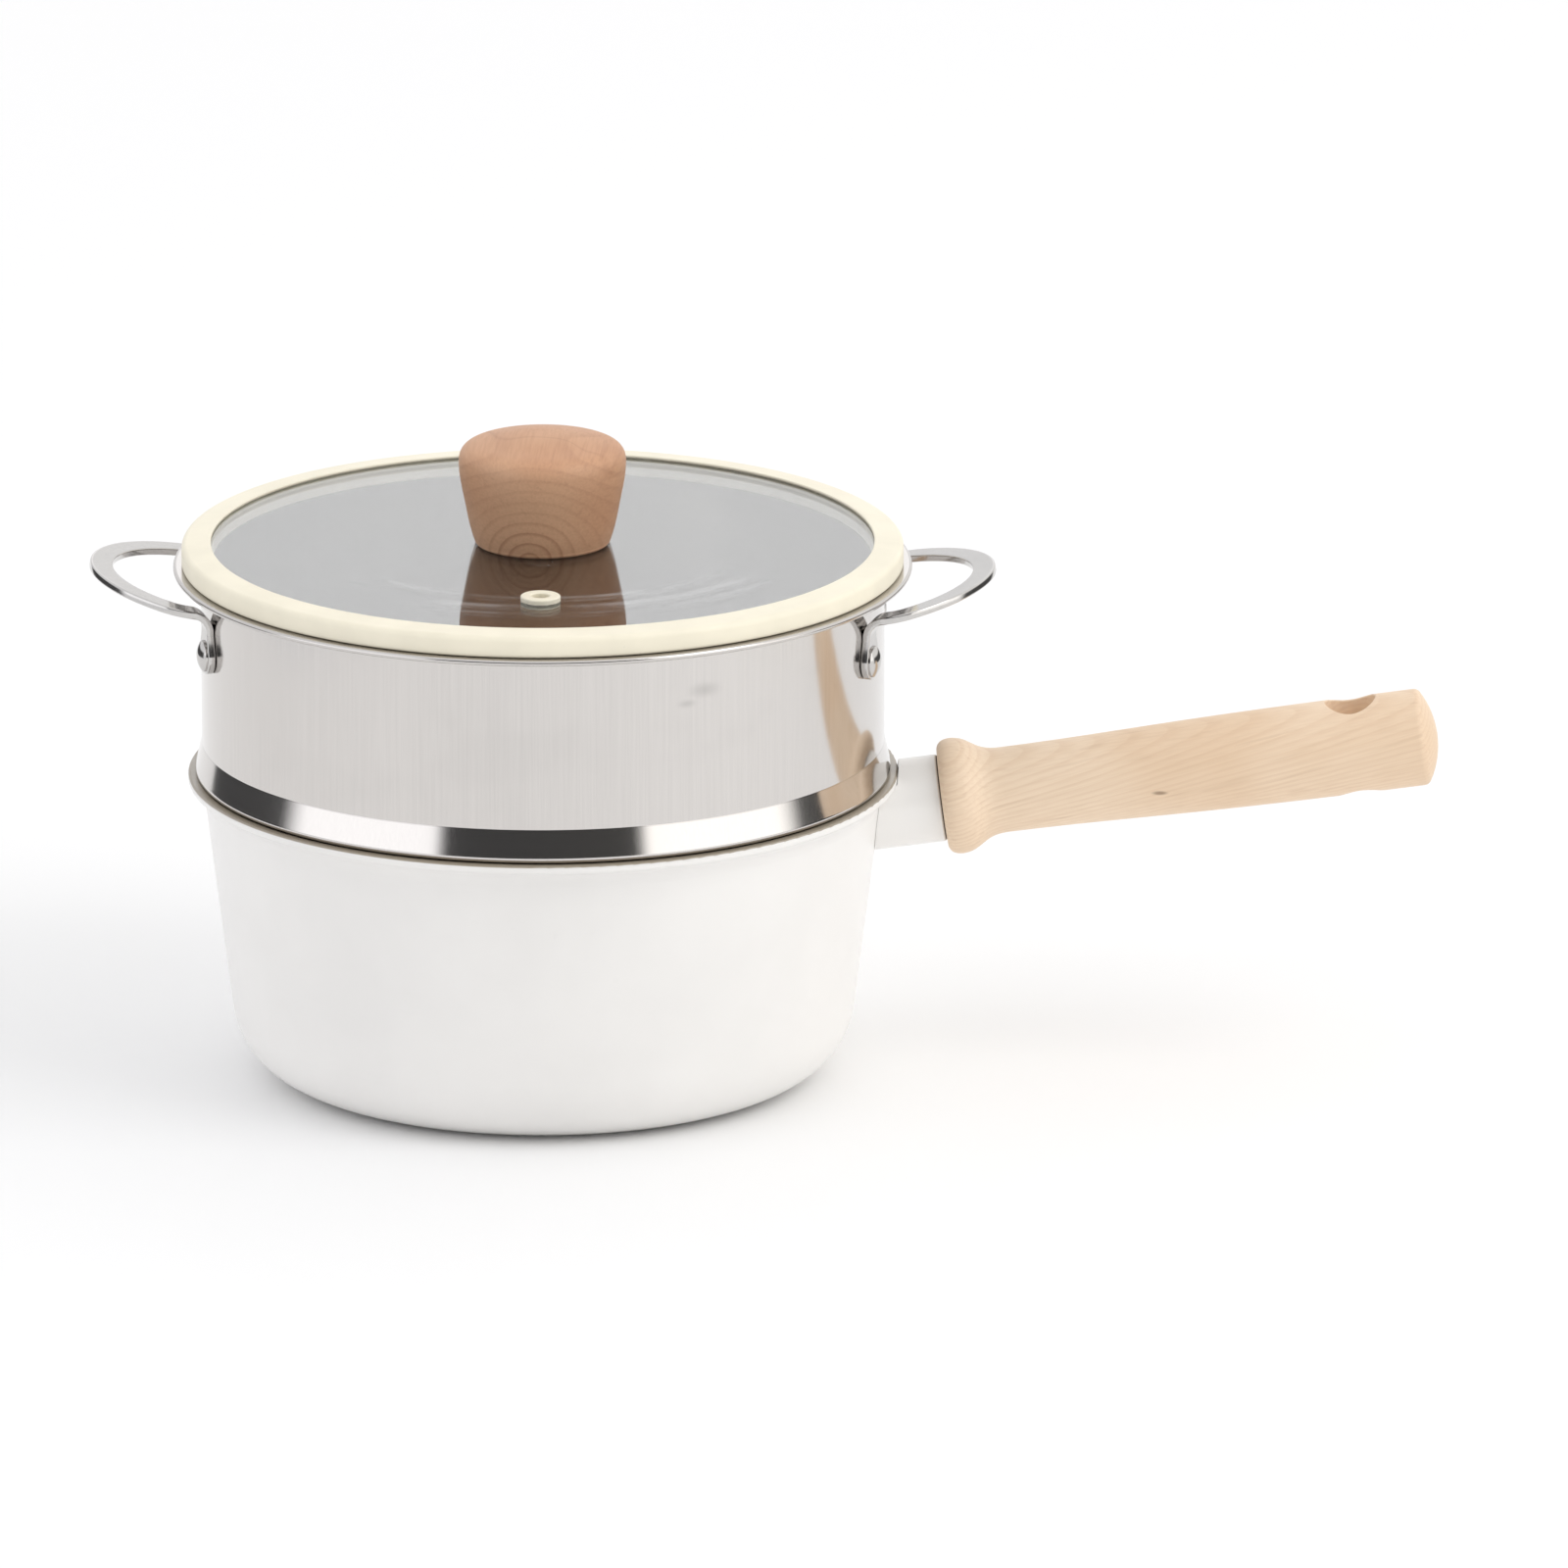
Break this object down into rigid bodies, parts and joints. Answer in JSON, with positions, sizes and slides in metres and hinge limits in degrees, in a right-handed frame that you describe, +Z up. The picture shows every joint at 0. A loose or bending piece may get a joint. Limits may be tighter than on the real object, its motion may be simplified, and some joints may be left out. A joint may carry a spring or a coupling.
{
  "type": "double boiler",
  "caption": "Round saucepan with a long wooden handle, a steel upper pot with loop handles on its lip, and a rimmed glass lid with a wooden knob and steam vent.",
  "frame": {"origin": "where the pan's axis meets the surface that it stands on", "axes": "+Z up along the pan's axis, +X along the long handle, -Y to the front, where the steam vent is"},
  "size_m": [0.3666, 0.2006, 0.179],
  "materials": {
    "pan_coating": "smooth satin off-white coating on aluminium",
    "brushed_steel": "turned steel disc with ring grooves",
    "dark_gasket": "matt",
    "zinc_steel": "zinc plated",
    "insert_brass": "machined",
    "handle_wood": "light beech, oiled, fine flecks along the handle",
    "pot_steel": "fine upright brushing, mirror bright at the flare and flange",
    "polished_steel": "polished",
    "lid_glass": "clear tempered glass",
    "cream_silicone": "smooth cream silicone",
    "knob_wood": "reddish beech with curved growth rings, oiled",
    "screw_steel": "plain steel",
    "clear_silicone": "translucent soft washer"
  },
  "bodies": {
    "pan": {"pan_body": "pan_coating", "pan_base_disc": "brushed_steel", "handle_socket": "pan_coating", "handle_gasket": "dark_gasket", "handle_stud": "zinc_steel", "handle_thread_insert": "insert_brass", "handle_grip": "handle_wood"},
    "pot": {"upper_pot": "pot_steel", "left_loop_handle": "polished_steel", "right_loop_handle": "polished_steel", "left_loop_rivets": "polished_steel", "right_loop_rivets": "polished_steel"},
    "lid": {"lid_glass": "lid_glass", "lid_rim_seal": "cream_silicone", "lid_knob": "knob_wood", "knob_thread_insert": "insert_brass", "knob_screw": "screw_steel", "knob_cushion": "clear_silicone", "knob_washer": "screw_steel", "vent_grommet": "cream_silicone"}
  },
  "joints": [
    {"name": "pot_lift", "type": "slide", "parent": "pan", "child": "pot", "axis": [0, 0, 1], "range_m": [0, 0.08]},
    {"name": "lid_lift", "type": "slide", "parent": "pot", "child": "lid", "axis": [0, 0, 1], "range_m": [0, 0.06]}
  ]
}
